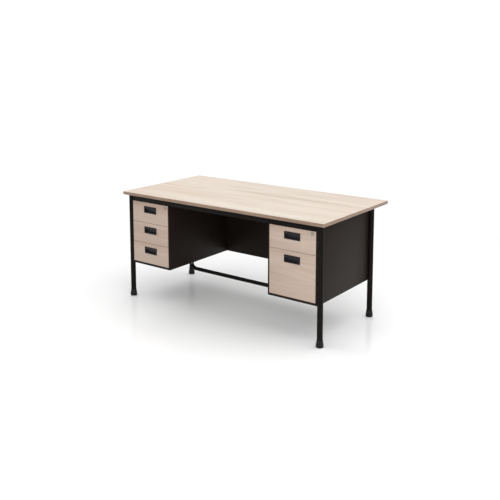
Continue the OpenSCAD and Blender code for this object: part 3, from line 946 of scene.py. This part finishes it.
# %% Locks
for drawer in LOCKED:
    softened(drawer + "_lock_housing", NICKEL, "nickel", radius=0.5 * MM, segments=3)
    softened(drawer + "_lock_cam", NICKEL, "nickel", radius=0.3 * MM)

# %% [markdown]
# ## Screws, bolts and rivets
# Each kind of head is made once, facing up at the origin, and the fixing recipe sets a
# copy at every place, turned to face away from its surface.  Pan-head screws have a
# cross recess, cut with a Boolean.  The bolts have a washer under a hexagon with its
# corners turned off.  Inside the trays are flat rivets and, in front, wood screws.


# %% Heads
def drop(*objects):
    for item in objects:
        bpy.data.objects.remove(item)


def box_mesh(name, size, centre):
    work = bmesh.new()
    bmesh.ops.create_cube(work, size=1.0)
    bmesh.ops.scale(work, vec=size, verts=work.verts)
    bmesh.ops.translate(work, vec=centre, verts=work.verts)
    return from_bmesh(name, work)


def pan_head(radius, height):
    profile = [(0, 0), (radius, 0), (radius, height * 0.25), (radius * 0.95, height * 0.6),
               (radius * 0.8, height * 0.88), (radius * 0.55, height), (0, height)]
    head = lathe("pan_head", profile, (0, 0, 0), None, sides=24)
    arms = [box_mesh("recess_arm", size, (0, 0, height)) for size in
            ((radius * 1.05, radius * 0.26, height), (radius * 0.26, radius * 1.05, height))]
    for arm in arms:
        cut = head.modifiers.new("recess", "BOOLEAN")
        cut.operation = "DIFFERENCE"
        cut.object = arm
    baked(head)
    drop(*arms)
    return smooth(head, 30)


def hex_head(radius, height):
    """A washer with a hexagon on it; the hexagon's top edge is turned round."""
    washer = 1.0 * MM
    work = bmesh.new()
    sections = [(24, radius * 1.12, 0), (24, radius * 1.12, washer), (6, radius, washer),
                (6, radius, height - 0.8 * MM), (6, radius * 0.88, height)]
    for low, high in ((0, 1), (2, 4)):
        rings = []
        for sides, r, z in sections[low:high + 1]:
            rings.append([work.verts.new((r * math.cos(2 * math.pi * k / sides),
                                          r * math.sin(2 * math.pi * k / sides), z)) for k in range(sides)])
        for below, above in zip(rings, rings[1:]):
            join_rings(work, below, above)
        work.faces.new(rings[0])
        work.faces.new(rings[-1])
    bmesh.ops.recalc_face_normals(work, faces=work.faces)
    return smooth(from_bmesh("hex_head", work), 25)


def rivet_head(radius, height):
    profile = [(0, 0), (radius, 0), (radius * 0.97, height * 0.35), (radius * 0.8, height * 0.75),
               (radius * 0.45, height), (0, height)]
    return lathe("rivet_head", profile, (0, 0, 0), None, sides=20)


def islands(node):
    """Centre and lowest point of each separate solid in a CAD node.

    A set has no fixed order, so the result is sorted to be the same in each run.
    """
    work = merged(node)
    left = set(work.verts)
    found = []
    while left:
        group, edge = set(), [left.pop()]
        while edge:
            vertex = edge.pop()
            group.add(vertex)
            for link in vertex.link_edges:
                other = link.other_vert(vertex)
                if other in left:
                    left.discard(other)
                    edge.append(other)
        xs, ys, zs = zip(*[v.co for v in group])
        found.append(Vector(((min(xs) + max(xs)) / 2, (min(ys) + max(ys)) / 2, min(zs))))
    work.free()
    return sorted(found, key=tuple)


def set_fixings(name, head, places, facing, finish, body, slot, *stands_for):
    directions = [facing] * len(places) if isinstance(facing, tuple) else facing
    piece = FIXINGS.grow(name, points(name + "_places", places, directions), finish, Head=head)
    return fit(smooth(piece, 30), body, slot, *stands_for)


# %% Fixings under the top and the pedestals
PAN_HEIGHT = 2.2 * MM
HEX_HEIGHT = 5 * MM
screw = pan_head(4.5 * MM, PAN_HEIGHT)
places = [p + Vector((0, 0, PAN_HEIGHT)) for p in islands("top_screws")]
set_fixings("top_pan_screws", screw, places, (0, 0, -1), ZINC, "desk", "zinc_steel", "top_screws")
print("screws under the top:", len(places))

bolt = hex_head(5.8 * MM, HEX_HEIGHT)
places = [p + Vector((0, 0, HEX_HEIGHT)) for p in islands("foot_bar_bolts")]
set_fixings("foot_bar_hex_bolts", bolt, places, (0, 0, -1), ZINC, "desk", "zinc_steel", "foot_bar_bolts")
print("foot bar bolts:", len(places))


# %% Fixings in the drawers
CHANNEL_STEEL = 1.2 * MM
MIDDLE_CHANNEL_INSET = 2.4 * MM
SCREW_FROM_END = 45 * MM
TRAY_SHEET = 1.0 * MM


def runner_screws(drawer, head):
    """Two screws through each outer channel into its pads; they face the tray."""
    low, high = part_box(drawer + "_runner_middle")
    web = CHANNEL_STEEL - MIDDLE_CHANNEL_INSET
    middle = (low.z + high.z) / 2
    length = high.y - low.y
    ys = (low.y + SCREW_FROM_END, low.y + length - SCREW_FROM_END)
    places = [(low.x + web, y, middle) for y in ys] + [(high.x - web, y, middle) for y in ys]
    facing = [(1, 0, 0)] * 2 + [(-1, 0, 0)] * 2
    return set_fixings(drawer + "_runner_screws", head, places, facing, ZINC, "desk", "zinc_steel")


def tray_rivets(drawer, head):
    """Rivets through the tray's walls into the inner channels."""
    low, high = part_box(drawer + "_tray")
    runner_low, runner_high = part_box(drawer + "_runner_inner")
    z = (runner_low.z + runner_high.z) / 2
    ys = [runner_low.y + (runner_high.y - runner_low.y) * part for part in (0.08, 0.5, 0.92)]
    places = [(low.x + TRAY_SHEET, y, z) for y in ys] + [(high.x - TRAY_SHEET, y, z) for y in ys]
    facing = [(1, 0, 0)] * 3 + [(-1, 0, 0)] * 3
    return set_fixings(drawer + "_tray_rivets", head, places, facing, ZINC, drawer + "_drawer", "zinc_steel")


def front_screws(drawer, head):
    """Screws through the tray's front wall into the board."""
    low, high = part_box(drawer + "_tray")
    rows = (low.z + 14 * MM, high.z - 10 * MM)
    middle = (low.x + high.x) / 2
    places = [(middle + x * MM, low.y + TRAY_SHEET, z) for x in (-125, 125) for z in rows]
    return set_fixings(drawer + "_front_screws", head, places, (0, 1, 0), ZINC,
                       drawer + "_drawer", "zinc_steel")


flat_screw = pan_head(4.0 * MM, 1.4 * MM)
rivet = rivet_head(3.2 * MM, 0.9 * MM)
for drawer in DRAWERS:
    runner_screws(drawer, flat_screw)
    tray_rivets(drawer, rivet)
    front_screws(drawer, screw)
print("drawer fixings:", 3 * len(DRAWERS), "pieces")

# %% [markdown]
# ## Ball races
# A telescopic runner has three channels, with rows of steel balls between them in thin
# cages.  The balls between the fixed and the middle channel sit in the rear half of the
# middle one and those between the middle and the drawer channel in its front half, so
# that none leaves its race when the drawer is pulled out to the end.  As a simplification
# they ride on the middle channel, where real balls would roll along it.


# %% Balls and cages
def race_starts(drawer, from_wall, height, offset):
    """Front end of each row: both sides of the tray, above and below the middle."""
    low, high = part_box(drawer + "_runner_middle")
    middle = (low.z + high.z) / 2
    y = low.y + offset
    return [(x, y, middle + s * height) for x in (low.x + from_wall, high.x - from_wall) for s in (-1, 1)]


def cage_path(name, starts, length):
    mesh = bpy.data.meshes.new(name)
    corners, edges = [], []
    for x, y, z in starts:
        edges.append((len(corners), len(corners) + 1))
        corners += [(x, y, z), (x, y + length, z)]
    mesh.from_pydata(corners, edges, [])
    return mesh


def cage_recipe():
    recipe = Recipe("ball_cage", Thickness="size", Height="size")
    line = recipe.node("GeometryNodeMeshToCurve", {}, [recipe.given("Start")])
    strip = recipe.node("GeometryNodeCurvePrimitiveQuadrilateral", {},
                        {"Width": recipe.given("Thickness"), "Height": recipe.given("Height")})
    cage = recipe.node("GeometryNodeCurveToMesh", {},
                       {"Curve": line, "Profile Curve": strip, "Fill Caps": True})
    return recipe.ends_in(cage)


BALL_CAGE = cage_recipe()
BALL_PITCH = 9 * MM
RACE_END = 6 * MM
CAGE_LEAD = 4 * MM
CAGE_STEEL = 0.5 * MM
# distance from the channel's side, height above and below its middle, ball radius
RACES = {"outer": (3.3 * MM, 19.15 * MM, 1.95 * MM), "inner": (5.85 * MM, 14.27 * MM, 1.35 * MM)}


def add_races(drawer):
    low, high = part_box(drawer + "_runner_middle")
    half = (high.y - low.y) / 2
    count = int((half - 2 * RACE_END) / BALL_PITCH)
    body = drawer + "_runner"
    for name, (from_wall, height, radius) in RACES.items():
        offset = RACE_END + (half if name == "outer" else 0)
        starts = race_starts(drawer, from_wall, height, offset)
        balls = BALL_ROWS.grow(drawer + "_balls_" + name, points("ball_rows", starts), ZINC,
                               Count=count, Pitch=BALL_PITCH, Radius=radius)
        fit(smooth(balls, 60), body, "zinc_steel")
        cage_starts = [(x, y - CAGE_LEAD, z) for x, y, z in starts]
        cage = BALL_CAGE.grow(drawer + "_cage_" + name,
                              cage_path("cage_path", cage_starts, count * BALL_PITCH + 1 * MM), ZINC,
                              Thickness=radius * 1.3, Height=CAGE_STEEL)
        fit(smooth(cage), body, "zinc_steel")
    return count


for drawer in DRAWERS:
    balls = add_races(drawer)
    print(drawer, "has", 8 * balls, "balls")
drop(screw, bolt, flat_screw, rivet)

# %% [markdown]
# ## Floor and light
# The desk stands on a pale, glossy floor in a white room without corners, as in a
# studio.  A very wide sky of light overhead, which leans slightly from behind, lights
# the top and spreads a soft shadow forward under the desk.  A softbox at the
# front right gives the drawer fronts and the end panel their tone.  Away from the desk
# the floor fades into plain white, so that no horizon shows.

# %% Stage
KEY_POWER = 2.85
KEY_TOWARD = (0.08, 0.1, 1.0)
KEY_SPREAD = 130
FILL_POWER = 14
FILL_PLACE = (2.0, -2.2, 1.1)
FILL_AIM = (0.4, 0, 0.4)
FILL_SIDE = 1.4
ROOM_STRENGTH = 0.39
ROOM_SEEN = 1.05
FLOOR_HALF = 30
FADE_START = 1.3
FADE_END = 3.0
FADE_STRENGTH = 1.02


def add_floor():
    finish = Finish("floor", Specular_IOR_Level=0.35)
    cloud = finish.noise(finish.place, 1.5, 2.0)
    tone = finish.blend(cloud, (0.945, 0.945, 0.945), (0.965, 0.965, 0.965))
    material = finish.feed(Base_Color=tone, Roughness=cloud * 0.04 + 0.16)
    away = finish.node("ShaderNodeVectorMath", {"operation": "LENGTH"}, [finish.place], output="Value")
    white = finish.node("ShaderNodeEmission", {}, {"Strength": FADE_STRENGTH})
    shader = Value(finish, finish.shader.outputs[0])
    faded = finish.node("ShaderNodeMixShader", {}, [away.span(FADE_START, FADE_END), shader, white])
    finish.nodes.links.new(faded.socket, finish.nodes.nodes["Material Output"].inputs["Surface"])
    mesh = bpy.data.meshes.new("floor")
    corners = [(-FLOOR_HALF, -FLOOR_HALF, 0), (FLOOR_HALF, -FLOOR_HALF, 0),
               (FLOOR_HALF, FLOOR_HALF, 0), (-FLOOR_HALF, FLOOR_HALF, 0)]
    mesh.from_pydata(corners, [], [(0, 1, 2, 3)])
    mesh.materials.append(material)
    floor = add("floor", mesh)
    return floor


def add_sun(name, toward, power, spread):
    """A sun whose light comes from the direction `toward`, spread over that many degrees."""
    data = bpy.data.lights.new(name, "SUN")
    data.energy = power
    data.angle = math.radians(spread)
    sun = bpy.data.objects.new(name, data)
    sun.rotation_euler = Vector(toward).to_track_quat("Z", "Y").to_euler()
    bpy.context.scene.collection.objects.link(sun)
    return sun


def add_softbox(name, place, aim, side, power):
    data = bpy.data.lights.new(name, "AREA")
    data.size = side
    data.energy = power
    softbox = bpy.data.objects.new(name, data)
    softbox.location = place
    softbox.rotation_euler = (Vector(place) - Vector(aim)).to_track_quat("Z", "Y").to_euler()
    bpy.context.scene.collection.objects.link(softbox)
    return softbox


def add_room(strength):
    """The room lights the desk evenly and dimly, and looks white where it is seen directly."""
    world = bpy.data.worlds.new("room")
    bpy.context.scene.world = world
    world.use_nodes = True
    room = Tree(world.node_tree)
    background = world.node_tree.nodes["Background"]
    background.inputs["Color"].default_value = (1, 1, 1, 1)
    seen = room.node("ShaderNodeLightPath", output="Is Camera Ray")
    level = seen * (ROOM_SEEN - strength) + strength
    world.node_tree.links.new(level.socket, background.inputs["Strength"])


floor = add_floor()
add_room(ROOM_STRENGTH)
add_sun("key", KEY_TOWARD, KEY_POWER, KEY_SPREAD)
add_softbox("fill", FILL_PLACE, FILL_AIM, FILL_SIDE, FILL_POWER)
bpy.context.scene.view_settings.view_transform = "Standard"
